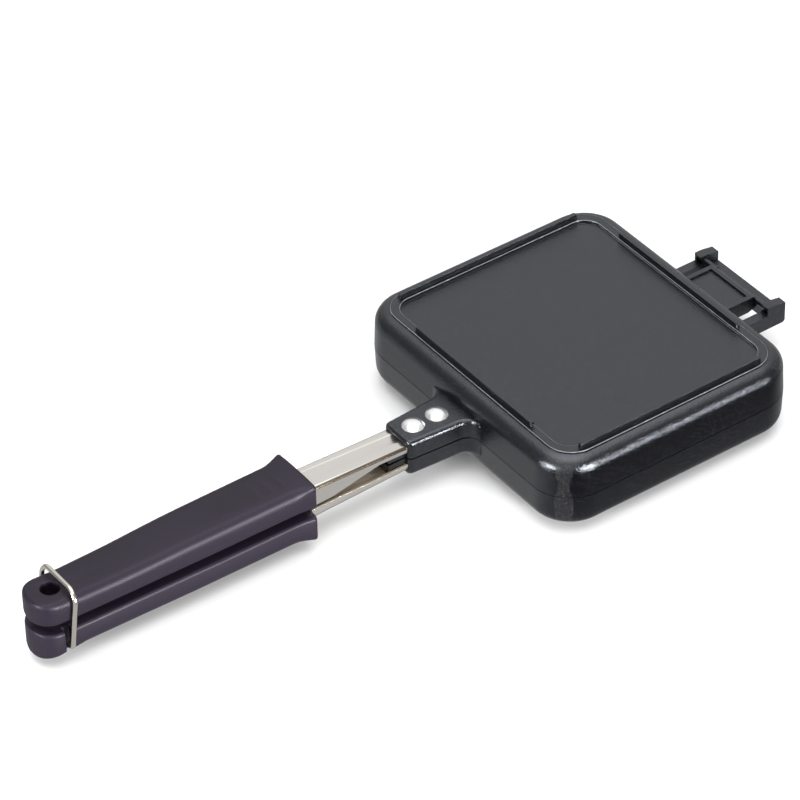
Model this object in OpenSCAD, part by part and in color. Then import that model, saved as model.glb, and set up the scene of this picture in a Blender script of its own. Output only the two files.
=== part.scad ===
// Pie iron for toasting a closed sandwich over a flame.
// Two cast plates hinge at the back, and a handle is riveted to each.
// X runs from the grips to the hinge, Y across the plates and Z up.
// The origin lies on the ground, under the middle of the whole length.

/* [Plates] */
// Length of a plate along the handle, at its rim
plate_len = 121.3; // [100:0.1:150]
// Width of a plate, at its rim
plate_wid = 137; // [110:0.5:170]
// Corner radius of a plate, seen from above
plate_corner_r = 18.2; // [16:0.1:24]
// Height of the upper plate from its rim to its shoulder
upper_h = 16.95; // [14:0.05:22]
// Height of the lower plate from its rim to its shoulder
lower_h = 15.8; // [13:0.05:22]
// Lean of the outer wall from upright, degrees
wall_draft = 2.3; // [1:0.1:5]
// Rounding between the outer wall and the shoulder
edge_r = 6.5; // [4:0.5:7.5]
// Gap between the two rims when the iron is shut
seam_gap = 0.3; // [0.1:0.1:0.6]
// Width of the flat rim round the filling
rim_w = 5.5; // [4:0.5:8]
// Thickness of a plate between the filling and its shoulder
plate_floor = 3.7; // [3:0.1:6]
// Lean of the cavity wall from upright, degrees
cavity_draft = 9; // [5:1:14]
// Rounding between the cavity wall and its floor
cavity_edge_r = 5; // [3:0.5:6]

/* [Outer face] */
// Distance from the rim's edge to the outer side of the two end ribs
rib_end_inset = 8; // [7.8:0.05:12]
// Distance from the rim's edge to the outer side of the two side ribs
rib_side_inset = 7.65; // [7.5:0.05:12]
// Thickness of the ribs that the iron stands on
rib_t = 1.9; // [1.5:0.1:3]
// Height of the ribs over the band that carries them
rib_h = 2.4; // [1.5:0.1:4]
// Plate corner left free at each end of the two side ribs
side_rib_free = 15.65; // [12:0.05:30]
// Plate corner left free at each end of the two end ribs
end_rib_free = 30.1; // [20:0.1:45]
// Slope of a rib's ends
rib_slope = 0.8; // [0:0.1:2]
// Height of the raised band over the shoulder
band_h = 0.5; // [0.3:0.1:1]
// Width of the raised band along the plate's two ends
band_end_w = 2.5; // [2:0.1:9]
// Width of the raised band along the plate's two sides
band_side_w = 4.6; // [2:0.1:9]
// Depth of the panel inside the band
panel_depth = 1; // [0.5:0.1:1.4]
// Corner radius of the panel
panel_corner_r = 7; // [3:0.5:10]

/* [Handle boss] */
// Length of the boss from the plate's edge
boss_len = 29.25; // [26:0.05:36]
// Wall of the boss beside the strap, at its free end
boss_end_wall = 1.3; // [1:0.1:4]
// Wall of the boss beside the strap, where its flare starts
boss_root_wall = 2.7; // [1.5:0.1:5]
// Cover of the boss over the strap
boss_cover = 2.3; // [1.8:0.1:4]
// Rounding along the top of the boss
boss_edge_r = 2.2; // [1:0.1:2.4]
// Rounding of the top edge at the boss's free end
boss_nose_r = 1.3; // [0.5:0.1:2]
// Rounding of the corners at the boss's free end, seen from above
boss_corner_r = 2.2; // [1:0.1:4]
// Radius of the flare into the plate
boss_flare_r = 6; // [4:0.5:8]
// Length of the core that reaches out inside the strap
core_reach = 8.1; // [3:0.1:12]

/* [Strap] */
// Half width of the folded strap
strap_hw = 7.3; // [6:0.01:9]
// Thickness of the strap's sheet
strap_t = 1.2; // [1:0.1:1.6]
// Outer radius of the strap's folds
strap_bend_r = 1.6; // [1.3:0.1:2]
// Height of the strap's outer face over the parting plane, at the boss
strap_z = 6.1; // [5.4:0.1:7.2]
// Rise of the strap towards the grip, degrees
strap_tilt = 1.91; // [1:0.01:2.4]
// Length of strap in view between the boss and the grip
strap_show = 46.9; // [30:0.1:70]
// Length of strap inside the boss
strap_root = 26; // [24:0.5:28]
// Length of strap inside the grip
strap_tang = 79; // [60:0.5:84]
// Depth of the folded sides inside the boss
flange_boss = 2.9; // [2.4:0.1:3.2]
// Depth of the folded sides inside the grip
flange_grip = 4; // [3:0.1:4.2]
// Depth of the upper strap's sides at their deepest, by the grip
flange_deep = 9; // [6:0.1:9.4]
// Length of the upper strap's slope from shallow to deep
flange_slope = 22; // [15:0.5:28]
// Depth of the lower strap's sides by the grip
flange_low = 4.7; // [3:0.1:5]

/* [Grips] */
// Length of a grip
grip_len = 124.2; // [100:0.1:160]
// Gap between the two grips
grip_gap = 4.5; // [3.5:0.1:6]
// Half width of a grip behind its finger guard
grip_front_hw = 11.95; // [10.5:0.05:15]
// Half width of a grip where its rounded end starts
grip_end_hw = 10.2; // [9:0.1:11.9]
// Height of a grip's back over the parting plane
grip_top = 13.15; // [12.6:0.05:15]
// Height of the upper grip's back over the parting plane, at its end
upper_end_top = 12.6; // [11:0.1:14]
// Height of the lower grip's back over the parting plane, at its end
lower_end_top = 13.2; // [11:0.1:14]
// Extra drop of the lower grip's back over its last stretch
lower_end_drop = 1.8; // [0:0.1:3]
// Dip of a grip's back before its end
grip_waist = 0.3; // [0:0.1:1]
// Rounding of a grip's outer edges along its middle
grip_edge_r = 4; // [2:0.1:5]
// Rounding of a grip's outer edges at its end
grip_end_edge_r = 2; // [1:0.1:4]
// Rounding of a grip's inner edges
grip_inner_r = 1.4; // [0.5:0.1:2]
// Crown of a grip's back
grip_crown = 0.5; // [0:0.1:1]
// Flare of the finger guard to each side
guard_flare = 1.3; // [0:0.1:2]
// Rise of the finger guard over a grip's back
guard_rise = 0.8; // [0:0.1:2]
// Length of the finger guard
guard_len = 10; // [8:0.5:20]
// Rounding of a grip's front edge
front_edge_r = 1.5; // [1:0.1:3]
// Rounding of the upper grip's end edge
upper_end_r = 2.2; // [1:0.1:4]
// Rounding of the lower grip's end edge
lower_end_r = 1; // [0.5:0.1:4]
// Length of the rounded end of a grip, seen from above
lobe_len = 9.6; // [6:0.1:11]
// Radius of the hanging hole
hang_r = 4; // [2.5:0.1:4.4]
// Distance from a grip's end to the hanging hole
hang_inset = 10.3; // [9:0.1:14]
// Distance from a grip's front to the first thumb groove
thumb_start = 10.4; // [8:0.1:30]
// Distance between thumb grooves
thumb_pitch = 5.5; // [3:0.1:8]
// Number of thumb grooves
thumb_count = 3; // [0:1:6]
// Length of the thumb grooves
thumb_len = 11; // [6:0.5:18]
// Depth of the thumb grooves
thumb_depth = 0.4; // [0.2:0.1:0.8]

/* [Lock ring] */
// Diameter of the ring's wire
wire_d = 2.1; // [1.6:0.01:2.6]
// Lean of the ring towards the plates when it holds the grips, degrees
ring_lean = 7.1; // [4:0.1:14]
// Depth of the ring's pivot under the parting plane
ring_pivot_z = 10; // [9:0.1:11]
// Distance from a grip's end to the ring's pivot
ring_pivot_inset = 11.4; // [10:0.1:14]
// Radius of the ring's upper corners, to the middle of its wire
ring_corner_r = 5; // [2:0.1:6]
// Radius of the ring's bends by its pivots, to the middle of its wire
ring_pivot_r = 1.8; // [1.5:0.1:3]
// Half distance between the tips of the ring's pivots
ring_tip_y = 5.3; // [5:0.1:6]
// Half width of the lower grip between its two pivot grooves
ring_groove_hw = 6.9; // [6.6:0.1:8]
// Width of the pivot grooves
ring_groove_w = 3.8; // [2.8:0.1:5]

/* [Hinge] */
// Distance from the plate's edge to the far end of the hinge arms
arm_reach = 28.25; // [25:0.05:34]
// Distance from the plate's edge to the hinge line
pivot_reach = 20.85; // [19:0.05:23]
// Height of the hinge line over the parting plane
pivot_z = 3; // [2.6:0.1:3.6]
// Half width between the hinge arms
arm_in = 19.6; // [16:0.1:26]
// Thickness of a hinge arm
arm_t = 4.2; // [3.5:0.1:6]
// Depth of the arms under the parting plane
arm_depth = 5.5; // [4:0.1:8]
// Height of the arms over the parting plane
arm_top = 1.4; // [0.8:0.1:1.4]
// Roof of the lugs over the trunnions
lug_roof = 0.95; // [0.8:0.05:2]
// Drop of the lugs' top towards their far end
lug_drop = 1; // [0:0.1:1.5]
// Outer wall of the pockets in the lugs
pocket_wall = 1; // [0.8:0.1:1.5]
// Radius of the trunnions on the tongue
trunnion_r = 1.3; // [1:0.01:1.6]
// Cover of the tongue over its trunnions
tongue_cover = 0.5; // [0.3:0.1:0.8]
// Radius of the tongue's nose
nose_r = 3.2; // [2.6:0.1:3.4]
// Distance from the nose's middle back to the hinge line
nose_back = 1.9; // [1.7:0.1:3]
// Half width of the tongue on the upper plate
tongue_hw = 13.7; // [10:0.1:17]
// Depth of the tongue under the parting plane
tongue_depth = 2.2; // [1:0.1:3.5]
// Width of the tongue's side ribs
tongue_rib = 2.1; // [1.5:0.1:4]
// Depth of the tongue's top between its side ribs
tongue_recess = 0.9; // [0.4:0.1:1.2]
// Thickness of the crossbar
bar_h = 5; // [4:0.1:6]
// Width of the crossbar along the handle
bar_w = 5.6; // [4:0.1:6]

/* [Fasteners] */
// Distance from the boss's end to the first rivet
rivet_inset = 8.2; // [7:0.1:10]
// Distance between the two rivets of a boss
rivet_pitch = 11.5; // [10:0.1:12]
// Radius of a rivet's head
rivet_head_r = 4.65; // [3.8:0.05:5]
// Height of a rivet's head
rivet_head_h = 2; // [1:0.1:2.5]
// Radius of a rivet's shank
rivet_r = 2.4; // [1.8:0.1:3]
// Radius of a rivet's closed end
rivet_tail_r = 3.4; // [3:0.1:4]
// Radius of a grip screw's head
screw_head_r = 3.1; // [2.5:0.1:3.6]
// Height of a grip screw's head
screw_head_h = 2; // [1.5:0.1:2.4]
// Radius of a grip screw's shank
screw_r = 1.7; // [1.3:0.1:2]
// Distance from a grip's front to its screw
screw_inset = 66; // [50:0.5:72]

/* [Clearances] */
// Between a strap and the slots it sits in
strap_clear = 0.15; // [0.1:0.05:0.3]
// Between a rivet or screw and its hole, on the radius
shank_clear = 0.05; // [0.03:0.01:0.2]
// Between a trunnion or ring pivot and its bore, on the radius
pivot_clear = 0.05; // [0.03:0.01:0.1]
// Between the tongue's trunnions and the ends of their pockets
side_clear = 0.4; // [0.2:0.1:0.6]
// Between the tongue and the crossbar once the iron lies open
open_clear = 0.3; // [0.2:0.1:0.6]
// Between the ring's sides and a grip
ring_side_clear = 0.4; // [0.3:0.05:2]
// Between the ring's bar and the upper grip's end as it swings past
ring_end_clear = 0.1; // [0.1:0.05:1]

/* [Hidden] */
$fn = 48;

arc_steps = 8;
cut = 1;
rim_z = seam_gap / 2;
parting_z = rim_z + lower_h + band_h + rib_h;
edge_x = plate_len / 2;
edge_y = plate_wid / 2;
boss_x = -edge_x - boss_len;
grip_x = boss_x - strap_show;
end_x = grip_x - grip_len;
far_x = edge_x + arm_reach;
plate_x = -(far_x + end_x) / 2;
pivot_x = edge_x + pivot_reach;
hang_x = end_x + hang_inset;
ring_x = end_x + ring_pivot_inset;
rivet_xs = [boss_x + rivet_inset, boss_x + rivet_inset + rivet_pitch];
screw_x = grip_x - screw_inset;
inner_z = grip_gap / 2;
boss_end_hw = strap_hw + boss_end_wall;
boss_root_hw = strap_hw + boss_root_wall;
boss_top = strap_z + boss_cover;
wire_r = wire_d / 2;
ring_hw = grip_end_hw + ring_side_clear + wire_r;
ring_reach = norm([ring_pivot_inset - upper_end_r, ring_pivot_z + upper_end_top - upper_end_r])
    + upper_end_r + wire_r + ring_end_clear;
tongue_top = pivot_z + trunnion_r + tongue_cover;
lug_top = pivot_z + trunnion_r + pivot_clear + lug_roof;
bar_top = 2 * pivot_z - tongue_top - open_clear;
root_depth = 2.8;
flange_start = 13.3;
flange_stop = 1.2;
rivet_tail_h = 1.1;
rivet_tail_room = 0.3;
screw_tip = 0.8;
screw_sunk = 0.4;
lobe_power = 2.3;
lobe_tip_hw = 1.2;
end_run = 20;
waist_from = 0.42;
thumb_r = 1.3;
arm_step = 1;
fillet_r = 6;
ring_seat_play = 0.2;

plate_grey = "#2b2c30";
steel_silver = "#c9c8c3";
rivet_silver = "#e2e2e2";
grip_black = "#2a2529";

// Points on an arc about a centre, from one angle to another
function arc(centre, r, from, to, steps = arc_steps) = [
    for (i = [0:steps]) let (a = from + (to - from) * i / steps) centre + r * [cos(a), sin(a)]];

// How far a rounded edge of radius r draws in at a distance d from the end
function drawn_in(r, d) = d < r ? r - sqrt(r * r - (r - d) * (r - d)) : 0;

// A smooth step from 0 to 1
function eased(t) = let (u = min(max(t, 0), 1)) u * u * (3 - 2 * u);

// Height of a strap's outer face over the parting plane, at a place along X
function strap_face(x) = strap_z + (boss_x - x) * tan(strap_tilt);

// Solid through a row of cross sections that have equally many points
module loft(sections) {
    n = len(sections[0]);
    last = len(sections) - 1;
    polyhedron(
        points = [for (s = sections) each s],
        faces = concat(
            [[for (i = [0:n - 1]) i]],
            [for (k = [0:last - 1], i = [0:n - 1]) let (j = (i + 1) % n)
                each [[k * n + i, (k + 1) * n + i, (k + 1) * n + j],
                    [k * n + i, (k + 1) * n + j, k * n + j]]],
            [[for (i = [n - 1:-1:0]) last * n + i]]));
}

// Rectangle with rounded corners, centred
module rounded_rect(long, wide, r) {
    x = long / 2 - r;
    y = wide / 2 - r;
    polygon(concat(arc([x, y], r, 0, 90), arc([-x, y], r, 90, 180),
        arc([-x, -y], r, 180, 270), arc([x, -y], r, 270, 360)));
}

// Half section of a wall with draft that rounds over into a flat face, from its corner's axis
module wall_section(r, h, edge, draft) {
    z = h - edge;
    x = r - z * tan(draft) - edge / cos(draft);
    polygon(concat([[0, 0], [r, 0]], arc([x, z], edge, draft, 90), [[0, h]]));
}

// Block with rounded plan corners, leaning walls and a rounded outer edge
module rounded_block(long, wide, r, h, edge, draft) {
    x = long / 2 - r;
    y = wide / 2 - r;
    translate([-x, -y, 0])
        cube([2 * x, 2 * y, h]);
    for (c = [[x, y, 0], [-x, y, 90], [-x, -y, 180], [x, -y, 270]])
        translate([c[0], c[1], 0])
            rotate(c[2])
                rotate_extrude(angle = 90)
                    wall_section(r, h, edge, draft);
    for (side = [0, 180]) {
        rotate(side)
            translate([x, 0, 0])
                rotate([90, 0, 0])
                    linear_extrude(2 * y, center = true)
                        wall_section(r, h, edge, draft);
        rotate(side + 90)
            translate([y, 0, 0])
                rotate([90, 0, 0])
                    linear_extrude(2 * x, center = true)
                        wall_section(r, h, edge, draft);
    }
}

// Rib along X with sloped ends, its outer side on y = 0
module rib(long) {
    rotate([90, 0, 0])
        linear_extrude(rib_t)
            polygon([[-long / 2, 0], [long / 2, 0], [long / 2 - rib_slope, rib_h],
                [rib_slope - long / 2, rib_h]]);
}

// One cast plate of height h without its boss and hinge, its rim on z = 0 and its ribs up
module plate_shell(h) {
    band_z = h + band_h;
    band_long = plate_len - 2 * rib_end_inset;
    band_wide = plate_wid - 2 * rib_side_inset;
    difference() {
        union() {
            rounded_block(plate_len, plate_wid, plate_corner_r, h, edge_r, wall_draft);
            translate([0, 0, h - cut])
                linear_extrude(band_h + cut)
                    rounded_rect(band_long, band_wide, panel_corner_r + band_end_w);
        }
        translate([0, 0, band_z - panel_depth])
            linear_extrude(panel_depth + cut)
                rounded_rect(band_long - 2 * band_end_w, band_wide - 2 * band_side_w, panel_corner_r);
        rounded_block(plate_len - 2 * rim_w, plate_wid - 2 * rim_w, plate_corner_r - rim_w,
            h - plate_floor, cavity_edge_r, cavity_draft);
    }
    for (side = [0, 180])
        rotate(side) {
            translate([0, band_wide / 2, band_z])
                rib(plate_len - 2 * side_rib_free);
            translate([band_long / 2, 0, band_z])
                rotate(-90)
                    rib(plate_wid - 2 * end_rib_free);
        }
}

// Section of the boss across X: half width hw, top z drawn in by d
function boss_section(x, hw, top) = let (r = boss_edge_r, w = hw - r, z = top - r) [
    for (p = concat([[hw, rim_z]], arc([w, z], r, 0, 90, 5), arc([-w, z], r, 90, 180, 5), [[-hw, rim_z]]))
        [x, p[0], p[1]]];

// Half width of the boss at a distance d from its free end
function boss_hw(d) = let (flare = d - (boss_len - boss_flare_r))
    boss_end_hw + (boss_root_hw - boss_end_hw) * min(d / (boss_len - boss_flare_r), 1)
    + (flare > 0 ? boss_flare_r - sqrt(boss_flare_r ^ 2 - min(flare, boss_flare_r) ^ 2) : 0);

// Cast boss that holds the strap, over the parting plane
module boss_body() {
    places = concat([for (i = [0:5]) boss_corner_r * (1 - cos(90 * i / 5))],
        [boss_len - boss_flare_r],
        [for (i = [1:6]) boss_len - boss_flare_r * (1 - sin(90 * i / 6))],
        [boss_len + root_depth]);
    loft([for (d = places)
        boss_section(boss_x + d, boss_hw(d) - drawn_in(boss_corner_r, d), boss_top - drawn_in(boss_nose_r, d))]);
}

// Cross section of the folded strap, its outer face on y = 0, grown by g all round
module strap_section(depth, g = 0) {
    difference() {
        channel_side(strap_hw + g, strap_bend_r + g, g, depth + g);
        channel_side(strap_hw - strap_t - g, max(strap_bend_r - strap_t - g, 0.1), -strap_t - g,
            depth + g + cut);
    }
}

// Upright block with its two upper corners rounded
module channel_side(hw, r, top, depth) {
    polygon(concat(arc([hw - r, top - r], r, 0, 90), arc([r - hw, top - r], r, 90, 180),
        [[-hw, -depth], [hw, -depth]]));
}

// Places its children where the strap leaves the boss, x along the strap and z out of its face
module on_strap() {
    translate([boss_x, 0, strap_z])
        rotate([0, strap_tilt, 0])
            children();
}

// Strap section drawn along x from one place to another
module strap_run(from, to, depth, g = 0) {
    on_strap()
        translate([from, 0, 0])
            rotate([90, 0, 90])
                linear_extrude(to - from)
                    strap_section(depth, g);
}

// Slot for the strap in the boss, open at the boss's free end
module boss_slot() {
    strap_run(-cut, strap_root + strap_clear, flange_boss, strap_clear);
}

// Slot for the strap in the grip, open at the grip's front
module grip_slot() {
    strap_run(-strap_show - strap_tang - strap_clear, -strap_show + front_edge_r + cut, flange_grip,
        strap_clear);
}

// Core that fills the strap where it leaves the boss
module boss_core() {
    hw = strap_hw - strap_t - strap_clear;
    on_strap()
        translate([-core_reach, -hw, 0])
            mirror([0, 0, 1])
                translate([0, 0, strap_t + strap_clear])
                    cube([core_reach + cut, 2 * hw, strap_z - strap_t - strap_clear - 2 * rim_z]);
}

// Holes for the two rivets, with room for their closed ends
module rivet_holes() {
    for (x = rivet_xs)
        translate([x, 0, 0]) {
            cylinder(h = boss_top + cut, r = rivet_r + shank_clear);
            translate([0, 0, rim_z - cut])
                cylinder(h = cut + rivet_tail_h + rivet_tail_room, r = rivet_tail_r + shank_clear);
        }
}

// Boss with its core, slot and rivet holes
module boss() {
    difference() {
        union() {
            difference() {
                boss_body();
                boss_slot();
            }
            boss_core();
        }
        rivet_holes();
    }
}

// Shell of height h over the parting plane, with its boss
module plate_half(h) {
    translate([0, 0, rim_z])
        plate_shell(h);
    boss();
}

// Puts the upper half in place over the parting plane
module upper() {
    translate([plate_x, 0, parting_z])
        children();
}

// Puts the lower half in place, mirrored in the parting plane
module lower() {
    upper()
        mirror([0, 0, 1])
            children();
}

// Outline of the tongue from the side: flat top, rounded nose and hollowed underside
module tongue_outline() {
    root_x = edge_x - root_depth;
    face_x = edge_x + 1.2;
    nose = [pivot_x - nose_back, tongue_top - nose_r];
    polygon(concat([[root_x, rim_z], [face_x, rim_z], [face_x + 0.5, -tongue_depth],
        [nose[0] - 2, -tongue_depth]], arc(nose, nose_r, -50, 90, 14), [[root_x, tongue_top]]));
}

// Tongue with trunnions that turn in the lower plate's lugs
module tongue() {
    difference() {
        rotate([90, 0, 0])
            linear_extrude(2 * tongue_hw, center = true)
                tongue_outline();
        translate([edge_x + tongue_rib / 2, tongue_rib - tongue_hw, tongue_top - tongue_recess])
            cube([pivot_reach - nose_back - tongue_rib, 2 * (tongue_hw - tongue_rib),
                cut + tongue_recess]);
    }
    root_y = tongue_hw - tongue_rib;
    tip_y = arm_in + arm_t - pocket_wall - side_clear;
    for (side = [0, 1])
        mirror([0, side, 0])
            translate([pivot_x, root_y, pivot_z])
                rotate([-90, 0, 0])
                    cylinder(h = tip_y - root_y, r = trunnion_r);
}

// Outline of a hinge arm from the side, with the lug on its far end
module arm_outline() {
    root_x = edge_x - root_depth;
    face_x = edge_x + 0.7;
    lug_x = pivot_x - trunnion_r - 0.5;
    r = 1.5;
    polygon(concat([[root_x, -arm_depth]], arc([far_x - r, r - arm_depth], r, -90, 0),
        [[far_x, lug_top - lug_drop], [pivot_x + trunnion_r, lug_top], [lug_x, lug_top], [lug_x, arm_top],
        [face_x + arm_step, arm_top], [face_x, arm_top - arm_step], [face_x, -arm_step],
        [root_x, -arm_step]]));
}

// One hinge arm on the +Y side, with its lug's pocket open to the plate and the inside
module hinge_arm() {
    pocket_r = trunnion_r + pivot_clear;
    pocket_len = arm_t - pocket_wall + cut;
    difference() {
        translate([0, arm_in + arm_t, 0])
            rotate([90, 0, 0])
                linear_extrude(arm_t)
                    arm_outline();
        translate([pivot_x, arm_in - cut, pivot_z])
            rotate([-90, 0, 0])
                cylinder(h = pocket_len, r = pocket_r);
        translate([pivot_x - 2 * pocket_r, arm_in - cut, pivot_z - pocket_r])
            cube([2 * pocket_r, pocket_len, 2 * pocket_r]);
    }
    translate([edge_x - 1, arm_in + arm_t, -arm_depth])
        root_fillet(arm_depth - arm_step);
}

// Concave fillet between the plate's edge and the outside of an arm
module root_fillet(h) {
    linear_extrude(h)
        difference() {
            square(fillet_r);
            translate([fillet_r, fillet_r])
                circle(fillet_r);
        }
}

// Frame of the lower plate that carries the hinge
module hinge_frame() {
    for (side = [0, 1])
        mirror([0, side, 0])
            hinge_arm();
    translate([far_x - bar_w / 2 - 0.2, 0, bar_top - bar_h / 2])
        rotate([90, 0, 0])
            linear_extrude(2 * (arm_in + cut), center = true)
                rounded_rect(bar_w, bar_h, 1.2);
}

module upper_plate() {
    color(plate_grey)
        upper() {
            plate_half(upper_h);
            tongue();
        }
}

module lower_plate() {
    color(plate_grey) {
        lower()
            plate_half(lower_h);
        upper()
            hinge_frame();
    }
}

// Strap with sides that follow the depths given along it as [place, depth]
module strap(depths) {
    deep = max([for (d = depths) d[1]]);
    first = depths[0];
    last = depths[len(depths) - 1];
    side = concat([[strap_root, -flange_boss], [first[0], -flange_boss]], [for (d = depths) [d[0], -d[1]]],
        [[last[0], -flange_grip], [-strap_show - strap_tang, -flange_grip], [-strap_show - strap_tang, cut],
        [strap_root, cut]]);
    difference() {
        intersection() {
            strap_run(-strap_show - strap_tang, strap_root, deep + cut);
            on_strap()
                rotate([90, 0, 0])
                    linear_extrude(2 * strap_hw + 2 * cut, center = true)
                        polygon(side);
        }
        for (x = rivet_xs)
            translate([x, 0, 0])
                cylinder(h = boss_top, r = rivet_r + shank_clear);
        translate([screw_x, 0, 0])
            cylinder(h = grip_top, r = screw_r + shank_clear);
    }
}

module upper_strap() {
    color(steel_silver)
        upper()
            strap([[-flange_start, flange_boss], [-flange_start - flange_slope, flange_deep * 0.91],
                [flange_stop - strap_show, flange_deep]]);
}

module lower_strap() {
    color(steel_silver)
        lower()
            strap([[-1, flange_boss], [flange_stop - strap_show, flange_low]]);
}

// How much of the finger guard is left at a distance d from a grip's front, from 1 to 0
function guard(d) = (1 - min(d / guard_len, 1)) ^ 2;

// Half width of a grip at a distance d from its front
function grip_hw(d) = let (body = grip_len - lobe_len, lobe = max(d - body, 0) / lobe_len)
    (grip_front_hw + (grip_end_hw - grip_front_hw) * min(d / body, 1) ^ 2 + guard_flare * guard(d))
    * (1 - lobe ^ lobe_power) ^ (1 / lobe_power) - drawn_in(front_edge_r, d);

// Height of a grip's back at a distance d from its front
function grip_back(d, end_top, end_r, drop) = let (t = (d / grip_len - waist_from) / (1 - waist_from))
    grip_top + (end_top - grip_top) * eased(2 * t) + guard_rise * guard(d)
    - grip_waist * sin(180 * min(max(t, 0), 1)) ^ 2 + drop * max(1 - (grip_len - d) / end_run, 0) ^ 2
    - drawn_in(front_edge_r, d) - drawn_in(end_r, grip_len - d);

// Rounding of a grip's outer edges at a distance d from its front
function grip_round(d) = front_edge_r + (grip_edge_r - front_edge_r) * eased(d / guard_len)
    - (grip_edge_r - grip_end_edge_r) * eased((d - grip_len) / end_run + 1);

// Crown of a grip's back over its edges, at a place y across
function crown_at(d, y, hw) = grip_crown * (1 - (y / hw) ^ 2) * eased((grip_len - d) / end_run);

// Cross section of a grip at a distance d from its front
function grip_section(d, end_top, end_r, drop) = let (
        hw = max(grip_hw(d), lobe_tip_hw),
        top = grip_back(d, end_top, end_r, drop),
        r = min(grip_round(d), hw / 2),
        q = min(grip_inner_r, hw / 2),
        w = hw - r,
        over = [for (i = [1:5]) let (y = w * (1 - i / 3))
            [y, top + crown_at(d, y, hw) - crown_at(d, w, hw)]])
    [for (p = concat(arc([hw - q, inner_z + q], q, -90, 0, 3), arc([w, top - r], r, 0, 90, 6), over,
        arc([-w, top - r], r, 90, 180, 6), arc([q - hw, inner_z + q], q, 180, 270, 3)))
        [grip_x - d, p[0], p[1]]];

// Solid of one grip, without its holes
module grip_body(end_top, end_r, drop) {
    body = grip_len - lobe_len;
    places = concat([for (i = [0:4]) front_edge_r * (1 - cos(90 * i / 4))],
        [for (i = [1:4]) front_edge_r + (guard_len - front_edge_r) * i / 4],
        [for (i = [1:11]) guard_len + (body - guard_len) * i / 11],
        [for (i = [1:10]) body + lobe_len * sin(90 * i / 10)]);
    loft([for (i = [len(places) - 1:-1:0]) grip_section(places[i], end_top, end_r, drop)]);
}

// Grip with its strap slot, hanging hole, screw hole and thumb grooves
module grip_half(end_top, end_r, drop) {
    difference() {
        grip_body(end_top, end_r, drop);
        grip_slot();
        translate([hang_x, 0, 0])
            cylinder(h = 2 * grip_top, r = hang_r);
        translate([screw_x, 0, 0]) {
            cylinder(h = strap_face(screw_x) + 1.5 * screw_tip, r = screw_r + shank_clear);
            cylinder(h = inner_z + screw_sunk + screw_head_h, r = screw_head_r + shank_clear);
        }
        for (i = [0:1:thumb_count - 1])
            thumb_groove(thumb_start + i * thumb_pitch);
    }
}

// Shallow groove across a grip's back at a distance d from its front
module thumb_groove(d) {
    back = grip_back(d, grip_top, 0, 0) + crown_at(d, 0, grip_hw(d));
    translate([grip_x - d, 0, back + thumb_r - thumb_depth])
        rotate([90, 0, 0])
            cylinder(h = thumb_len, r = thumb_r, center = true, $fn = 24);
}

module upper_grip() {
    color(grip_black)
        upper()
            grip_half(upper_end_top, upper_end_r, 0);
}

module lower_grip() {
    color(grip_black)
        difference() {
            lower()
                grip_half(lower_end_top, lower_end_r, lower_end_drop);
            upper()
                ring_seats();
        }
}

// Grooves down the sides of the lower grip and blind bores for the ring's pivots
module ring_seats() {
    for (side = [0, 1])
        mirror([0, side, 0]) {
            translate([ring_x - ring_groove_w / 2, ring_groove_hw, -grip_top - lower_end_drop - cut])
                cube([ring_groove_w, grip_front_hw, grip_top + lower_end_drop + cut]);
            translate([ring_x, ring_tip_y - ring_seat_play, -ring_pivot_z])
                rotate([-90, 0, 0])
                    cylinder(h = grip_front_hw, r = wire_r + pivot_clear);
        }
}

// One rivet: domed head, shank and closed end
module rivet() {
    dome_r = (rivet_head_r ^ 2 + rivet_head_h ^ 2) / (2 * rivet_head_h);
    rise = acos((dome_r - rivet_head_h) / dome_r);
    tail_z = rim_z + rivet_tail_room - 0.1;
    rotate_extrude()
        polygon(concat([[0, tail_z], [rivet_tail_r, tail_z], [rivet_tail_r, tail_z + rivet_tail_h],
            [rivet_r, tail_z + rivet_tail_h], [rivet_r, boss_top]],
            arc([0, boss_top + rivet_head_h - dome_r], dome_r, 90 - rise, 90)));
}

module rivets() {
    color(rivet_silver)
        for (x = rivet_xs)
            translate([x, 0, 0])
                rivet();
}

module upper_rivets() {
    upper()
        rivets();
}

module lower_rivets() {
    lower()
        rivets();
}

// Pan-head screw that goes in from a grip's inner face and through its strap
module grip_screw() {
    head_z = inner_z + screw_sunk;
    color(steel_silver)
        translate([screw_x, 0, head_z])
            difference() {
                union() {
                    cylinder(h = screw_head_h - 0.1, r = screw_head_r);
                    cylinder(h = strap_face(screw_x) + screw_tip - head_z, r = screw_r);
                }
                for (turn = [0, 90])
                    rotate(turn)
                        translate([-screw_r, -0.4, -cut])
                            cube([2 * screw_r, 0.8, cut + screw_head_h / 2]);
            }
}

module upper_grip_screw() {
    upper()
        grip_screw();
}

module lower_grip_screw() {
    lower()
        grip_screw();
}

// Quarter bend of the ring's wire, from the x axis to the y axis
module wire_bend(r) {
    rotate_extrude(angle = 90)
        translate([r, 0])
            circle(wire_r);
}

// Half of the ring in the YZ plane, its pivot on z = 0 and its bar up
module ring_side() {
    corner_y = ring_hw - ring_corner_r;
    corner_z = ring_reach - ring_corner_r;
    bend_y = ring_hw - ring_pivot_r;
    translate([0, ring_tip_y, 0])
        rotate([-90, 0, 0])
            cylinder(h = bend_y - ring_tip_y, r = wire_r);
    translate([0, bend_y, ring_pivot_r])
        rotate([0, 90, 0])
            wire_bend(ring_pivot_r);
    translate([0, ring_hw, ring_pivot_r])
        cylinder(h = corner_z - ring_pivot_r, r = wire_r);
    translate([0, corner_y, corner_z])
        rotate([90, 0, 90])
            wire_bend(ring_corner_r);
    translate([0, 0, ring_reach])
        rotate([-90, 0, 0])
            cylinder(h = corner_y, r = wire_r);
}

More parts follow.
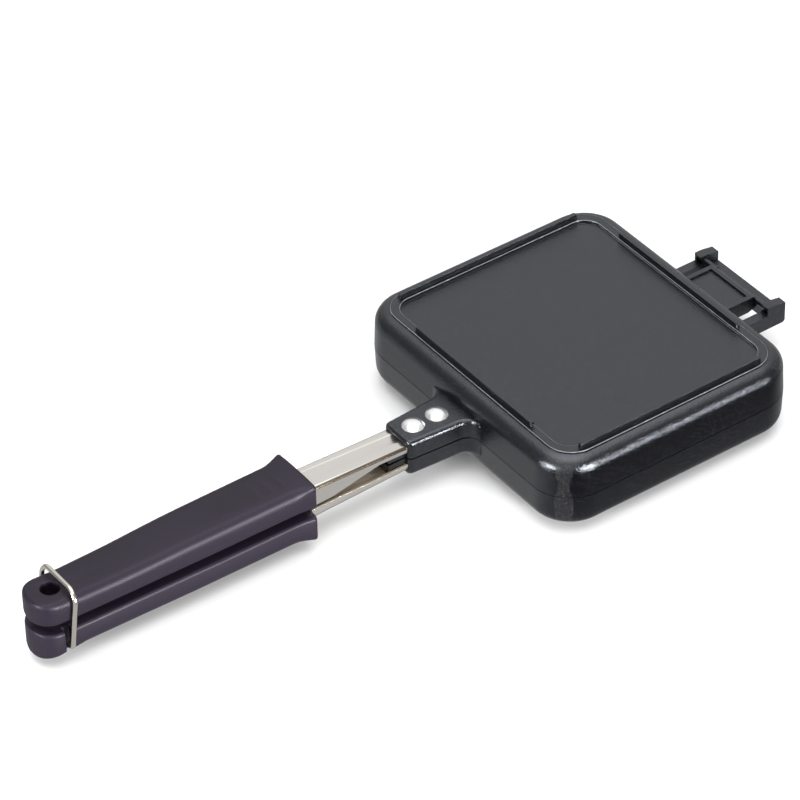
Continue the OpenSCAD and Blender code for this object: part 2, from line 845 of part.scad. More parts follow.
module lock_ring() {
    color(steel_silver)
        upper()
            translate([ring_x, 0, -ring_pivot_z])
                rotate([0, ring_lean, 0])
                    for (side = [0, 1])
                        mirror([0, side, 0])
                            ring_side();
}

upper_plate();
lower_plate();
upper_strap();
lower_strap();
upper_grip();
lower_grip();
upper_rivets();
lower_rivets();
upper_grip_screw();
lower_grip_screw();
lock_ring();
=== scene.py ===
import bpy
import math
from mathutils import Matrix, Vector


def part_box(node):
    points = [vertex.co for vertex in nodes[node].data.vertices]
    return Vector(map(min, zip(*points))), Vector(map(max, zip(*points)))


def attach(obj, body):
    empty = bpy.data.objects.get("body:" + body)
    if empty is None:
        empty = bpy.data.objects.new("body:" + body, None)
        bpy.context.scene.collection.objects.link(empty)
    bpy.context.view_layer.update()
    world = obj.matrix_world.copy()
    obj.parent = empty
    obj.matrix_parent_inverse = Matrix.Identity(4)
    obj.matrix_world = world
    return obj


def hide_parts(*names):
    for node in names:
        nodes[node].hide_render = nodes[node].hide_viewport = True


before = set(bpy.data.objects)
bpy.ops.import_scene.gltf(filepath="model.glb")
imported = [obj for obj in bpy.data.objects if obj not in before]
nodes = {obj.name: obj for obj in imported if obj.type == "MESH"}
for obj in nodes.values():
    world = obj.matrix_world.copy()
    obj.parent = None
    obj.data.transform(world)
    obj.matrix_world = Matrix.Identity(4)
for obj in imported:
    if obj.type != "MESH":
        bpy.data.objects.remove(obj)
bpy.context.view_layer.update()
mm = 0.001

photoCamera = {  # fitted to the photograph
    "azimuth": -34.9,  # degrees round the object
    "elevation": 39.03,
    "roll": -1.44,
    "lens": 200.66,  # mm
    "sensor": 36,
    "farthest": 20,
    "place": (-0.77764, -1.11239, 1.14243),
}


def addCamera(spec):
    around, above, roll = (math.radians(spec[k]) for k in ("azimuth", "elevation", "roll"))
    level = math.cos(above)
    back = Vector((math.sin(around) * level, -math.cos(around) * level, math.sin(above)))
    side = Vector((math.cos(around), math.sin(around), 0))
    over = back.cross(side)
    right = side * math.cos(roll) + over * math.sin(roll)
    up = over * math.cos(roll) - side * math.sin(roll)
    bpy.ops.object.camera_add()
    cam = bpy.context.object
    turn = Matrix((right, up, back)).transposed().to_4x4()
    cam.matrix_world = Matrix.Translation(spec["place"]) @ turn
    cam.data.lens = spec["lens"]
    cam.data.sensor_width = spec["sensor"]
    cam.data.clip_end = spec["farthest"]
    bpy.context.scene.camera = cam
    print("camera is placed")


def newGroup(name, inputs, outputs):
    group = bpy.data.node_groups.new(name, "ShaderNodeTree")
    for label, kind, value in inputs:
        socket = group.interface.new_socket(label, in_out="INPUT", socket_type=kind)
        if value is not None:
            socket.default_value = value
    for label, kind in outputs:
        group.interface.new_socket(label, in_out="OUTPUT", socket_type=kind)
    put = group.nodes.new
    return group, put("NodeGroupInput"), put("NodeGroupOutput"), put, group.links.new


def rangeOf(put, link, source, low, high, fromLow=0.3, fromHigh=0.7):
    spread = put("ShaderNodeMapRange")
    spread.inputs["From Min"].default_value = fromLow
    spread.inputs["From Max"].default_value = fromHigh
    spread.inputs["To Min"].default_value = low
    spread.inputs["To Max"].default_value = high
    link(source, spread.inputs["Value"])
    return spread.outputs["Result"]


def product(put, link, first, second):
    times = put("ShaderNodeMath")
    times.operation = "MULTIPLY"
    link(first, times.inputs[0])
    link(second, times.inputs[1])
    return times.outputs["Value"]


def blendOf(put, link, factor, first, second):
    mix = put("ShaderNodeMix")
    mix.data_type = "RGBA"
    for socket, colour in (("A", first), ("B", second)):
        if isinstance(colour, tuple):
            mix.inputs[socket].default_value = colour
        else:
            link(colour, mix.inputs[socket])
    link(factor, mix.inputs["Factor"])
    return mix.outputs["Result"]


def pebbleGroup():
    group, into, out, put, link = newGroup("pebbleGrain", [
        ("Pebble Scale", "NodeSocketFloat", 900.0),
        ("Dust Scale", "NodeSocketFloat", 3500.0),
        ("Dust Share", "NodeSocketFloat", 0.35),
        ("Speck Scale", "NodeSocketFloat", 1500.0),
    ], [(label, "NodeSocketFloat") for label in ("Height", "Mottle", "Specks")])
    place = put("ShaderNodeTexCoord")
    speck = put("ShaderNodeTexNoise")
    speck.inputs["Detail"].default_value = 1.0
    link(into.outputs["Speck Scale"], speck.inputs["Scale"])
    pebble = put("ShaderNodeTexNoise")
    pebble.inputs["Detail"].default_value = 2.0
    pebble.inputs["Roughness"].default_value = 0.55
    dust = put("ShaderNodeTexNoise")
    dust.inputs["Detail"].default_value = 1.0
    cloud = put("ShaderNodeTexNoise")
    cloud.inputs["Scale"].default_value = 26.0
    cloud.inputs["Detail"].default_value = 3.0
    mix = put("ShaderNodeMath")
    mix.operation = "MULTIPLY_ADD"
    for noise in (pebble, dust, cloud, speck):
        link(place.outputs["Object"], noise.inputs["Vector"])
    link(rangeOf(put, link, speck.outputs["Fac"], 0, 1, 0.57, 0.70), out.inputs["Specks"])
    link(into.outputs["Pebble Scale"], pebble.inputs["Scale"])
    link(into.outputs["Dust Scale"], dust.inputs["Scale"])
    link(dust.outputs["Fac"], mix.inputs[0])
    link(into.outputs["Dust Share"], mix.inputs[1])
    link(pebble.outputs["Fac"], mix.inputs[2])
    link(mix.outputs[0], out.inputs["Height"])
    link(cloud.outputs["Fac"], out.inputs["Mottle"])
    return group


def drawnGroup():
    group, into, out, put, link = newGroup("drawnLines", [
        ("Stretch", "NodeSocketVector", (0.02, 1.0, 1.0)),
        ("Line Scale", "NodeSocketFloat", 2600.0),
    ], [("Lines", "NodeSocketFloat"), ("Haze", "NodeSocketFloat")])
    place = put("ShaderNodeTexCoord")
    pull = put("ShaderNodeVectorMath")
    pull.operation = "MULTIPLY"
    lines = put("ShaderNodeTexNoise")
    lines.inputs["Detail"].default_value = 2.0
    haze = put("ShaderNodeTexNoise")
    haze.inputs["Scale"].default_value = 45.0
    haze.inputs["Detail"].default_value = 3.0
    link(place.outputs["Object"], pull.inputs[0])
    link(into.outputs["Stretch"], pull.inputs[1])
    link(pull.outputs["Vector"], lines.inputs["Vector"])
    link(into.outputs["Line Scale"], lines.inputs["Scale"])
    link(place.outputs["Object"], haze.inputs["Vector"])
    link(lines.outputs["Fac"], out.inputs["Lines"])
    link(haze.outputs["Fac"], out.inputs["Haze"])
    return group


pebbleGrain = pebbleGroup()
drawnLines = drawnGroup()


def startMaterial(name):
    material = bpy.data.materials.new(name)
    material.use_nodes = True
    tree = material.node_tree
    return material, tree, tree.nodes["Principled BSDF"], tree.nodes.new, tree.links.new


coatings = {
    "plateCoat": {
        "dark": (0.0008, 0.0008, 0.0012, 1), "light": (0.0016, 0.0016, 0.0022, 1),
        "speck": (0.0080, 0.0083, 0.0098, 1), "rough": (0.11, 0.21), "pebble": 1150.0,
        "dust": 3600.0, "share": 0.5, "depth": 0.00024, "specular": 0.72,
        "tint": (0.86, 0.90, 1.0, 1),
    },
    # lighter coat on eased edges: partly worn coating, partly a painted highlight for the bright edge
    # lines
    "wornEdgeAndHighlight": {
        "dark": (0.060, 0.060, 0.066, 1), "light": (0.15, 0.15, 0.155, 1),
        "speck": (0.26, 0.26, 0.27, 1), "rough": (0.18, 0.28), "pebble": 1250.0, "dust": 3600.0,
        "share": 0.5, "depth": 0.00006, "specular": 0.8, "tint": (0.92, 0.95, 1.0, 1),
    },
    "cookingCoat": {
        "dark": (0.006, 0.006, 0.007, 1), "light": (0.009, 0.009, 0.010, 1),
        "speck": (0.03, 0.03, 0.032, 1), "rough": (0.24, 0.32), "pebble": 700.0, "dust": 3000.0,
        "share": 0.15, "depth": 0.00004, "specular": 0.5, "tint": (0.95, 0.97, 1.0, 1),
    },
    "gripMoulding": {
        "dark": (0.0070, 0.0045, 0.0105, 1), "light": (0.0100, 0.0068, 0.0140, 1),
        "speck": (0.012, 0.009, 0.016, 1), "rough": (0.40, 0.48), "pebble": 1800.0,
        "dust": 5200.0, "share": 0.5, "depth": 0.00003, "specular": 0.28,
        "tint": (0.97, 0.92, 1.0, 1),
    },
}


def coatedMaterial(name, spec):
    material, tree, shader, put, link = startMaterial(name)
    grain = put("ShaderNodeGroup")
    grain.node_tree = pebbleGrain
    grain.inputs["Pebble Scale"].default_value = spec["pebble"]
    grain.inputs["Dust Scale"].default_value = spec["dust"]
    grain.inputs["Dust Share"].default_value = spec["share"]
    ground = blendOf(put, link, grain.outputs["Mottle"], spec["dark"], spec["light"])
    colour = blendOf(put, link, grain.outputs["Specks"], ground, spec["speck"])
    link(colour, shader.inputs["Base Color"])
    link(rangeOf(put, link, grain.outputs["Height"], *spec["rough"]), shader.inputs["Roughness"])
    bump = put("ShaderNodeBump")
    bump.inputs["Strength"].default_value = 0.6
    bump.inputs["Distance"].default_value = spec["depth"]
    link(grain.outputs["Height"], bump.inputs["Height"])
    link(bump.outputs["Normal"], shader.inputs["Normal"])
    shader.inputs["Specular IOR Level"].default_value = spec["specular"]
    shader.inputs["Specular Tint"].default_value = spec["tint"]
    return material


metals = {
    "strapSteel": {
        "metallic": 1.0, "dark": (0.64, 0.61, 0.57, 1), "light": (0.72, 0.70, 0.67, 1),
        "rough": (0.14, 0.22), "stretch": (0.02, 1.0, 1.0), "lines": 2600.0, "depth": 0.000012,
    },
    # painted reflection: brown, half diffuse steel inside the channel, so the shaded inside reads
    # lighter and brown
    "strapInsideReflection": {
        "metallic": 0.3, "dark": (0.34, 0.285, 0.21, 1), "light": (0.46, 0.39, 0.30, 1),
        "rough": (0.34, 0.46), "stretch": (0.02, 1.0, 1.0), "lines": 1800.0, "depth": 0.00002,
    },
    # painted reflection: dark brown on the outer folds, for the dark surroundings seen in the bends
    "strapFoldReflection": {
        "metallic": 1.0, "dark": (0.16, 0.13, 0.10, 1), "light": (0.34, 0.29, 0.22, 1),
        "rough": (0.20, 0.30), "stretch": (0.02, 1.0, 1.0), "lines": 1800.0, "depth": 0.00002,
    },
    "rivetMetal": {
        "metallic": 0.88, "dark": (0.80, 0.80, 0.81, 1), "light": (0.90, 0.90, 0.90, 1),
        "rough": (0.16, 0.26), "stretch": (1.0, 1.0, 1.0), "lines": 900.0, "depth": 0.00001,
    },
    "ringWire": {
        "metallic": 1.0, "dark": (0.58, 0.54, 0.48, 1), "light": (0.72, 0.69, 0.63, 1),
        "rough": (0.09, 0.18), "stretch": (1.0, 0.08, 0.08), "lines": 3000.0, "depth": 0.00001,
    },
    "screwSteel": {
        "metallic": 1.0, "dark": (0.50, 0.50, 0.50, 1), "light": (0.66, 0.66, 0.66, 1),
        "rough": (0.28, 0.42), "stretch": (1.0, 1.0, 1.0), "lines": 1500.0, "depth": 0.00001,
    },
}


def metalMaterial(name, spec):
    material, tree, shader, put, link = startMaterial(name)
    drawn = put("ShaderNodeGroup")
    drawn.node_tree = drawnLines
    drawn.inputs["Stretch"].default_value = spec["stretch"]
    drawn.inputs["Line Scale"].default_value = spec["lines"]
    colour = blendOf(put, link, drawn.outputs["Haze"], spec["dark"], spec["light"])
    link(colour, shader.inputs["Base Color"])
    link(rangeOf(put, link, drawn.outputs["Lines"], *spec["rough"]), shader.inputs["Roughness"])
    bump = put("ShaderNodeBump")
    bump.inputs["Strength"].default_value = 0.4
    bump.inputs["Distance"].default_value = spec["depth"]
    link(drawn.outputs["Lines"], bump.inputs["Height"])
    link(bump.outputs["Normal"], shader.inputs["Normal"])
    shader.inputs["Metallic"].default_value = spec["metallic"]
    return material


finishes = {name: coatedMaterial(name, spec) for name, spec in coatings.items()}
finishes.update({name: metalMaterial(name, spec) for name, spec in metals.items()})
print("finishes are mixed")


def selectOnly(piece):
    bpy.ops.object.select_all(action="DESELECT")
    piece.select_set(True)
    bpy.context.view_layer.objects.active = piece


def copyOfNode(node, name):
    selectOnly(nodes[node])
    bpy.ops.object.duplicate()
    piece = bpy.context.object
    piece.name = name
    piece.parent = None
    for key in list(piece.keys()):
        del piece[key]
    piece.data.materials.clear()
    bpy.ops.object.mode_set(mode="EDIT")
    bpy.ops.mesh.select_all(action="SELECT")
    bpy.ops.mesh.customdata_custom_splitnormals_clear()
    bpy.ops.mesh.remove_doubles(threshold=0.000002)
    bpy.ops.mesh.dissolve_limited(angle_limit=math.radians(0.4))
    bpy.ops.object.mode_set(mode="OBJECT")
    return piece


def easeEdges(piece, width, fromAngle, steps=2):
    selectOnly(piece)
    bevel = piece.modifiers.new("easedEdges", "BEVEL")
    bevel.limit_method = "ANGLE"
    bevel.angle_limit = math.radians(fromAngle)
    bevel.width = width
    bevel.segments = steps
    bevel.miter_outer = "MITER_ARC"
    bevel.use_clamp_overlap = True
    bpy.ops.object.modifier_apply(modifier=bevel.name)
    bpy.ops.object.shade_smooth_by_angle(angle=math.radians(40))


def cutOrJoin(piece, tool, operation):
    selectOnly(piece)
    change = piece.modifiers.new("change", "BOOLEAN")
    change.operation = operation
    change.solver = "EXACT"
    change.object = tool
    bpy.ops.object.modifier_apply(modifier=change.name)
    bpy.data.objects.remove(tool)


def finishShading(piece, angle=40):
    selectOnly(piece)
    bpy.ops.object.shade_smooth_by_angle(angle=math.radians(angle))
    flatten = piece.modifiers.new("flatFaces", "WEIGHTED_NORMAL")
    flatten.keep_sharp = True
    flatten.weight = 80
    bpy.ops.object.modifier_apply(modifier=flatten.name)


def roundedSlab(centre, halfLong, halfWide, cornerRadius, low, high):
    bpy.ops.object.select_all(action="DESELECT")
    bpy.ops.mesh.primitive_plane_add(size=2, location=(centre[0], centre[1], low))
    slab = bpy.context.object
    bpy.ops.object.mode_set(mode="EDIT")
    bpy.ops.transform.resize(value=(halfLong, halfWide, 1), center_override=(centre[0], centre[1], low))
    bpy.ops.mesh.bevel(offset=cornerRadius, segments=10, affect="VERTICES")
    bpy.ops.mesh.extrude_region_move(TRANSFORM_OT_translate={"value": (0, 0, high - low)})
    bpy.ops.mesh.select_all(action="SELECT")
    bpy.ops.mesh.normals_make_consistent(inside=False)
    bpy.ops.object.mode_set(mode="OBJECT")
    bpy.ops.object.transform_apply(location=True, rotation=True, scale=True)
    return slab


def addRib(centre, halfLong, along, low, high, spec):
    halfThick = spec["ribHalfThick"]
    half = (halfLong, halfThick) if along == "x" else (halfThick, halfLong)
    taper = (1 - spec["ribSlope"] / halfLong, spec["ribNarrow"])
    bpy.ops.object.select_all(action="DESELECT")
    bpy.ops.mesh.primitive_cube_add(size=2, location=(centre[0], centre[1], (low + high) / 2))
    rib = bpy.context.object
    bpy.ops.object.mode_set(mode="EDIT")
    bpy.ops.transform.resize(value=(half[0], half[1], abs(high - low) / 2), center_override=rib.location)
    bpy.ops.object.mode_set(mode="OBJECT")
    bpy.ops.object.transform_apply(location=True, rotation=True, scale=True)
    bpy.ops.object.mode_set(mode="EDIT")
    bpy.ops.mesh.select_all(action="DESELECT")
    bpy.ops.object.mode_set(mode="OBJECT")
    for vertex in rib.data.vertices:  # the top is drawn in
        vertex.select = abs(vertex.co.z - high) < 0.01 * mm
    bpy.ops.object.mode_set(mode="EDIT")
    narrower = (taper[0], taper[1], 1) if along == "x" else (taper[1], taper[0], 1)
    bpy.ops.transform.resize(value=narrower, center_override=(centre[0], centre[1], high))
    bpy.ops.object.mode_set(mode="OBJECT")
    ease = rib.modifiers.new("ribEdges", "BEVEL")
    ease.width = spec["ribRound"]
    ease.segments = 3
    ease.limit_method = "ANGLE"
    # the rounded rib edges take the worn edge coat with its painted highlight
    ease.material = 1
    bpy.ops.object.modifier_apply(modifier=ease.name)
    for finish in ("plateCoat", "wornEdgeAndHighlight"):
        rib.data.materials.append(finishes[finish])
    return rib


castings = {
    "centre": (86.05 * mm, 0.0),
    "partingHeight": 18.85 * mm,
    "ease": 0.35 * mm,  # radius that the mould leaves on outer edges
    "bandOutside": (53.8 * mm, 62.3 * mm, 12.0 * mm),  # half length, half width, corner radius
    "bandInside": (50.2 * mm, 57.7 * mm, 8.0 * mm),
    "bandHeight": 0.53 * mm,
    "bandRound": 0.22 * mm,
    "bandFoot": 1.9 * mm,
    "cutAbove": 6 * mm,  # how far a cutter stands out of the plate
    "grooveWidth": 0.3 * mm,
    "grooveDepth": 0.3 * mm,
    "panelSink": 0.52 * mm,  # panel below the top of the wall
    "ribHalfThick": 0.98 * mm,
    "ribSides": (59.85 * mm, 45.3 * mm),  # place across, half length
    "ribEnds": (51.65 * mm, 38.6 * mm),
    "ribSlope": 0.5 * mm,  # how far the ends lean in
    "ribNarrow": 0.9,  # width of the top to the foot
    "ribFoot": 0.3 * mm,  # depth of the foot in the wall
    "ribTop": {1: 19.99 * mm, -1: 18.84 * mm},  # of the upper and of the lower plate
    "ribRound": 0.22 * mm,
    "cookingSide": (57.0 * mm, 65.0 * mm, 1.3 * mm),  # half length, half width, metal behind it
    "facesOut": 0.9,  # a face that looks further out than this is no cooking side
    "seamDark": 0.5 * mm,  # no worn edge coat with its painted highlight this near the parting plane
    # dark gap at the boss: ends, half width, depth and corner radius
    "bossSeam": (-12.0 * mm, 23.5 * mm, 13.0 * mm, 0.3 * mm, 2 * mm),
    # as deep as the arms: heights, ends, half width and corner radius
    "hingeBar": (13.4 * mm, 17.0 * mm, 169.2 * mm, 174.7 * mm, 20.5 * mm, 0.3 * mm),
    "mouldAngle": 32,  # edges sharper than this are eased
    "bandAngle": 60,
}


def easeMoulded(piece, width, fromAngle):
    selectOnly(piece)
    ease = piece.modifiers.new("mouldedEdges", "BEVEL")
    ease.limit_method = "ANGLE"
    ease.angle_limit = math.radians(fromAngle)
    ease.width = width
    ease.segments = 2
    # eased edges take the worn edge coat with its painted highlight
    ease.material = 1
    bpy.ops.object.modifier_apply(modifier=ease.name)


def addCasting(name, node, body, side, wallTop, spec):
    # side is 1 for the upper plate and -1 for the lower one, and heights count from the parting plane
    def level(height):
        return spec["partingHeight"] + side * height

    centre, above = spec["centre"], level(wallTop + spec["cutAbove"])
    piece = copyOfNode(node, name)
    for finish in ("plateCoat", "wornEdgeAndHighlight", "cookingCoat"):
        piece.data.materials.append(finishes[finish])
    easeMoulded(piece, spec["ease"], spec["mouldAngle"])
    # faces at the parting plane go back to the plain coat, so the painted edge highlight stops at the
    # seam
    for face in piece.data.polygons:
        if abs(face.center.z - spec["partingHeight"]) < spec["seamDark"]:
            face.material_index = 0
    near, far, halfWide, depth, corner = spec["bossSeam"]
    cutOrJoin(piece, roundedSlab(((near + far) / 2, 0), (far - near) / 2, halfWide, corner,
        level(-1 * mm), level(depth)), "DIFFERENCE")

    long, wide, corner = spec["bandOutside"]
    groove = spec["grooveWidth"]
    cutOrJoin(piece, roundedSlab(centre, long + groove, wide + groove, corner + groove,
        level(wallTop - spec["grooveDepth"]), above), "DIFFERENCE")
    band = roundedSlab(centre, long, wide, corner,
        level(wallTop - spec["bandFoot"]), level(wallTop + spec["bandHeight"]))
    for finish in ("plateCoat", "wornEdgeAndHighlight"):
        band.data.materials.append(finishes[finish])
    long, wide, corner = spec["bandInside"]
    cutOrJoin(band, roundedSlab(centre, long, wide, corner,
        level(wallTop - spec["panelSink"]), above), "DIFFERENCE")
    easeMoulded(band, spec["bandRound"], spec["bandAngle"])
    cutOrJoin(piece, band, "UNION")

    across, sideHalf = spec["ribSides"]
    away, endHalf = spec["ribEnds"]
    low, high = level(wallTop - spec["ribFoot"]), level(spec["ribTop"][side])
    for way in (-1, 1):
        cutOrJoin(piece, addRib((centre[0], way * across), sideHalf, "x", low, high, spec), "UNION")
        cutOrJoin(piece, addRib((centre[0] + way * away, 0), endHalf, "y", low, high, spec), "UNION")

    if side < 0:
        low, high, near, far, halfWide, corner = spec["hingeBar"]
        bar = roundedSlab(((near + far) / 2, 0), (far - near) / 2, halfWide, corner, low, high)
        for finish in ("plateCoat", "wornEdgeAndHighlight"):
            bar.data.materials.append(finishes[finish])
        cutOrJoin(piece, bar, "UNION")

    finishShading(piece)
    halfLong, halfWide, shallow = spec["cookingSide"]
    for face in piece.data.polygons:
        depth = side * (face.center.z - spec["partingHeight"])
        within = abs(face.center.x - centre[0]) < halfLong and abs(face.center.y - centre[1]) < halfWide
        if within and depth < wallTop - shallow and side * face.normal.z < spec["facesOut"]:
            face.material_index = 2
    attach(piece, body)
    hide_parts(node)
    print(name, "has", len(piece.data.polygons), "faces")


straps = {
    "halfWide": 7.3 * mm,
    "wall": 1.2 * mm,
    "wallShare": 0.9,  # part of the wall that tells its inner face from its outer one
    "round": 0.2 * mm,
    "ease": 40,  # edges sharper than this are rounded
    "fold": (0.18, 0.93),  # how far a face looks up or down where the sheet is folded
    "inner": -0.5,  # a face that looks this far inwards is inside the channel
    "upright": 0.7,  # and so is an inner wall that looks this far across
}


def addStrap(name, node, body, side, spec):
    piece = copyOfNode(node, name)
    for finish in ("strapSteel", "strapInsideReflection", "strapFoldReflection"):
        piece.data.materials.append(finishes[finish])
    easeEdges(piece, spec["round"], spec["ease"])
    # inner faces take the painted brown reflection, outward folds the painted dark reflection
    for face in piece.data.polygons:
        out = side * face.normal.z
        away = face.normal.y * face.center.y
        innerWall = abs(face.center.y) < spec["halfWide"] - spec["wallShare"] * spec["wall"]
        inwards = innerWall and away < 0 and abs(face.normal.y) > spec["upright"]
        if out < spec["inner"] or inwards:
            face.material_index = 1
        elif spec["fold"][0] < out < spec["fold"][1] and away > 0:
            face.material_index = 2
    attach(piece, body)
    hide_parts(node)
    print(name, "has", len(piece.data.polygons), "faces")


rivetHead = {
    "radius": 4.65 * mm,
    "height": 2.0 * mm,
    "shank": 2.4 * mm,
    "tail": (3.4 * mm, 1.1 * mm),  # radius and height of the set end
    "dome": 9,  # points on the dome
    "steps": 64,
    "smooth": 35,
    "undercut": 0.25 * mm,
    "places": (4.35 * mm, 15.85 * mm),
}


def spinRivet(x, outline, steps):
    bpy.ops.object.select_all(action="DESELECT")
    bpy.ops.mesh.primitive_plane_add(size=1 * mm, location=(0, 0, 0))
    rivet = bpy.context.object
    bpy.ops.object.mode_set(mode="EDIT")
    bpy.ops.mesh.merge(type="CENTER")
    bpy.ops.transform.translate(value=(x + outline[0][0], 0, outline[0][1]))
    for (across, height), (nextAcross, nextHeight) in zip(outline, outline[1:]):
        step = (nextAcross - across, 0, nextHeight - height)
        bpy.ops.mesh.extrude_vertices_move(TRANSFORM_OT_translate={"value": step})
    bpy.ops.mesh.select_all(action="SELECT")
    bpy.ops.mesh.spin(steps=steps, angle=2 * math.pi, center=(x, 0, 0), axis=(0, 0, 1))
    bpy.ops.mesh.select_all(action="SELECT")
    bpy.ops.mesh.remove_doubles(threshold=0.01 * mm)
    bpy.ops.mesh.delete_loose()
    bpy.ops.mesh.select_all(action="SELECT")
    bpy.ops.mesh.normals_make_consistent(inside=False)
    bpy.ops.object.mode_set(mode="OBJECT")
    bpy.ops.object.transform_apply(location=True, rotation=True, scale=True)
    return rivet


def addRivets(name, node, body, side, spec):
    low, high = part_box(node)
    top, tail = (high[2], low[2]) if side > 0 else (low[2], high[2])
    rim = top - side * spec["height"]
    tailTop = tail + side * spec["tail"][1]
    dome = (spec["radius"] ** 2 + spec["height"] ** 2) / (2 * spec["height"])
    rise = math.acos((dome - spec["height"]) / dome)
    outline = [(0, tail), (spec["tail"][0], tail), (spec["tail"][0], tailTop),
        (spec["shank"], tailTop), (spec["shank"], rim), (spec["radius"] - spec["undercut"], rim)]
    for k in range(spec["dome"]):
        turn = rise * (1 - k / (spec["dome"] - 1))
        outline.append((dome * math.sin(turn), top - side * dome * (1 - math.cos(turn))))
    rivets = [spinRivet(x, outline, spec["steps"]) for x in spec["places"]]
    for rivet in rivets:
        rivet.select_set(True)
    bpy.context.view_layer.objects.active = rivets[0]
    bpy.ops.object.join()
    piece = bpy.context.object
    piece.name = name
    piece.data.materials.append(finishes["rivetMetal"])
    bpy.ops.object.shade_smooth_by_angle(angle=math.radians(spec["smooth"]))
    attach(piece, body)
    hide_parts(node)
    print(name, "has", len(piece.data.polygons), "faces")


easedPieces = [
    {"node": "upper_grip", "name": "upperGrip", "body": "lid", "slot": "grip_plastic",
        "finish": "gripMoulding", "width": 0.4 * mm, "fromAngle": 40},
    {"node": "lower_grip", "name": "lowerGrip", "body": "base", "slot": "grip_plastic",
        "finish": "gripMoulding", "width": 0.4 * mm, "fromAngle": 40},
]


studio = {
    "tint": (1.0, 1.0, 1.0, 1.0),
    "skyAbove": 0.40,  # light of the tent above and below the horizon
    "skyBelow": 0.02,
    "horizon": (-0.02, 0.34),  # the change between them, as heights
    "seenSky": (0.95, 0.95, 0.95, 1.0),
    "cards": [  # name, azimuth from +Y towards +X, elevation, full and fading half angles, light
        ("panelSheen", 38, 38, 22, 58, 0.53),
        ("topLight", 0, 90, 16, 42, 3.0),
        ("leftStrip", -94, 6, 5, 14, 56.0),
        ("frontStrip", 173, 4, 5, 13, 110.0),
        ("leftSky", -120, 35, 10, 50, 0.4),
    ],
    "floorGlowInReflections": (0.02, 0.60),  # glow of the floor in reflections: in the painted shade in front of the plates, and elsewhere
    "paintedShadeAcross": (-190.0 * mm, -90.0 * mm),  # where the painted shade in reflections in front of the plates begins along X
    "paintedShadeEnd": (220.0 * mm, 300.0 * mm),  # and ends
    "paintedShadeAlong": (-96.0 * mm, -40.0 * mm),  # the same along Y
    "floorSize": 12.0,
    "floorColour": (0.80, 0.80, 0.80, 1.0),
    "floorRough": 0.8,
    "floorShine": 0.1,
}


def towards(azimuth, elevation):
    a, e = math.radians(azimuth), math.radians(elevation)
    return (math.sin(a) * math.cos(e), math.cos(a) * math.cos(e), math.sin(e))


def lightTent(spec):
    world = bpy.context.scene.world or bpy.data.worlds.new("lightTent")
    bpy.context.scene.world = world
    world.use_nodes = True
    tree = world.node_tree
    put, link = tree.nodes.new, tree.links.new
    sky = tree.nodes["Background"]
    sky.inputs["Color"].default_value = spec["tint"]
    place = put("ShaderNodeTexCoord")
    parts = put("ShaderNodeSeparateXYZ")
    link(place.outputs["Generated"], parts.inputs["Vector"])
    height = put("ShaderNodeMapRange")
    height.interpolation_type = "SMOOTHSTEP"
    height.inputs["From Min"].default_value = spec["horizon"][0]
    height.inputs["From Max"].default_value = spec["horizon"][1]
    height.inputs["To Min"].default_value = spec["skyBelow"]
    height.inputs["To Max"].default_value = spec["skyAbove"]
    link(parts.outputs["Z"], height.inputs["Value"])
    light = height.outputs["Result"]
    for name, azimuth, elevation, full, fade, strength in spec["cards"]:
        facing = put("ShaderNodeVectorMath")
        facing.operation = "DOT_PRODUCT"
        facing.label = name
        facing.inputs[1].default_value = towards(azimuth, elevation)
        link(place.outputs["Generated"], facing.inputs[0])
        card = put("ShaderNodeMapRange")
        card.interpolation_type = "SMOOTHSTEP"
        card.inputs["From Min"].default_value = math.cos(math.radians(fade))
        card.inputs["From Max"].default_value = math.cos(math.radians(full))
        card.inputs["To Max"].default_value = strength
        link(facing.outputs["Value"], card.inputs["Value"])
        total = put("ShaderNodeMath")
        link(light, total.inputs[0])
        link(card.outputs["Result"], total.inputs[1])
        light = total.outputs["Value"]
    link(light, sky.inputs["Strength"])
    seen = put("ShaderNodeBackground")
    seen.inputs["Color"].default_value = spec["seenSky"]
    ray = put("ShaderNodeLightPath")
    choose = put("ShaderNodeMixShader")
    link(ray.outputs["Is Camera Ray"], choose.inputs["Fac"])
    link(sky.outputs["Background"], choose.inputs[1])
    link(seen.outputs["Background"], choose.inputs[2])
    link(choose.outputs["Shader"], tree.nodes["World Output"].inputs["Surface"])


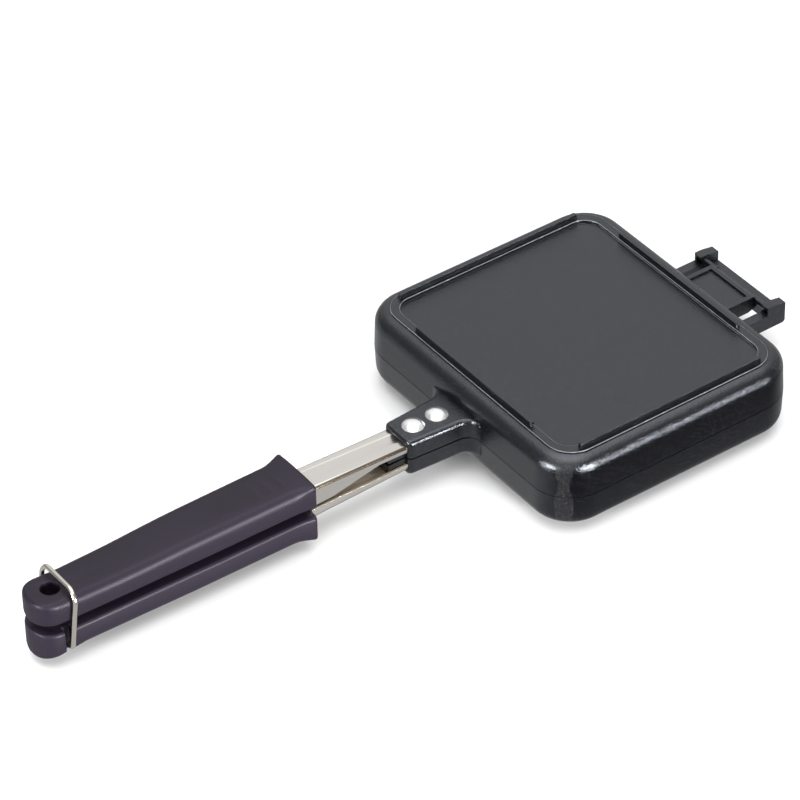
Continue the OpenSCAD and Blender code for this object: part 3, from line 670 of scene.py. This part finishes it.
def addStudio(spec):
    lightTent(spec)
    bpy.ops.mesh.primitive_plane_add(size=spec["floorSize"], location=(0, 0, 0))
    floor = bpy.context.object
    floor.name = "paleFloor"
    paint, tree, shader, put, link = startMaterial("paleFloor")
    shader.inputs["Base Color"].default_value = spec["floorColour"]
    shader.inputs["Roughness"].default_value = spec["floorRough"]
    shader.inputs["Specular IOR Level"].default_value = spec["floorShine"]
    place = put("ShaderNodeTexCoord")
    parts = put("ShaderNodeSeparateXYZ")
    link(place.outputs["Object"], parts.inputs["Vector"])
    # the floor glows for glossy rays only: a painted reflection, with a painted shadow in front of the
    # plates that darkens their front walls
    inFront = rangeOf(put, link, parts.outputs["Y"], 1, 0, *spec["paintedShadeAlong"])
    beside = rangeOf(put, link, parts.outputs["X"], 0, 1, *spec["paintedShadeAcross"])
    before = rangeOf(put, link, parts.outputs["X"], 1, 0, *spec["paintedShadeEnd"])
    paintedShade = product(put, link, product(put, link, inFront, beside), before)
    glow = put("ShaderNodeEmission")
    link(rangeOf(put, link, paintedShade, *reversed(spec["floorGlowInReflections"]), 0, 1), glow.inputs["Strength"])
    ray = put("ShaderNodeLightPath")
    choose = put("ShaderNodeMixShader")
    link(ray.outputs["Is Glossy Ray"], choose.inputs["Fac"])
    link(shader.outputs["BSDF"], choose.inputs[1])
    link(glow.outputs["Emission"], choose.inputs[2])
    link(choose.outputs["Shader"], tree.nodes["Material Output"].inputs["Surface"])
    floor.data.materials.append(paint)
    bpy.context.scene.view_settings.view_transform = "Standard"
    print("studio is lit")


addCamera(photoCamera)
addStudio(studio)
addCasting("upperCasting", "upper_plate", "lid", 1, 17.10 * mm, castings)
addCasting("lowerCasting", "lower_plate", "base", -1, 15.95 * mm, castings)
addStrap("upperStrap", "upper_strap", "lid", 1, straps)
addStrap("lowerStrap", "lower_strap", "base", -1, straps)
addRivets("upperRivetHeads", "upper_rivets", "lid", 1, rivetHead)
addRivets("lowerRivetHeads", "lower_rivets", "base", -1, rivetHead)
for spec in easedPieces:
    piece = copyOfNode(spec["node"], spec["name"])
    easeEdges(piece, spec["width"], spec["fromAngle"])
    piece.data.materials.append(finishes[spec["finish"]])
    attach(piece, spec["body"])
    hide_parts(spec["node"])
    print(spec["name"], "has", len(piece.data.polygons), "faces")

keptNodes = {
    "upper_grip_screw": "screwSteel",
    "lower_grip_screw": "screwSteel",
    "lock_ring": "ringWire",
}
for node, finish in keptNodes.items():
    for slot in nodes[node].material_slots:
        slot.material = finishes[finish]
    print(node, "is finished in", finish)

bpy.context.view_layer.update()
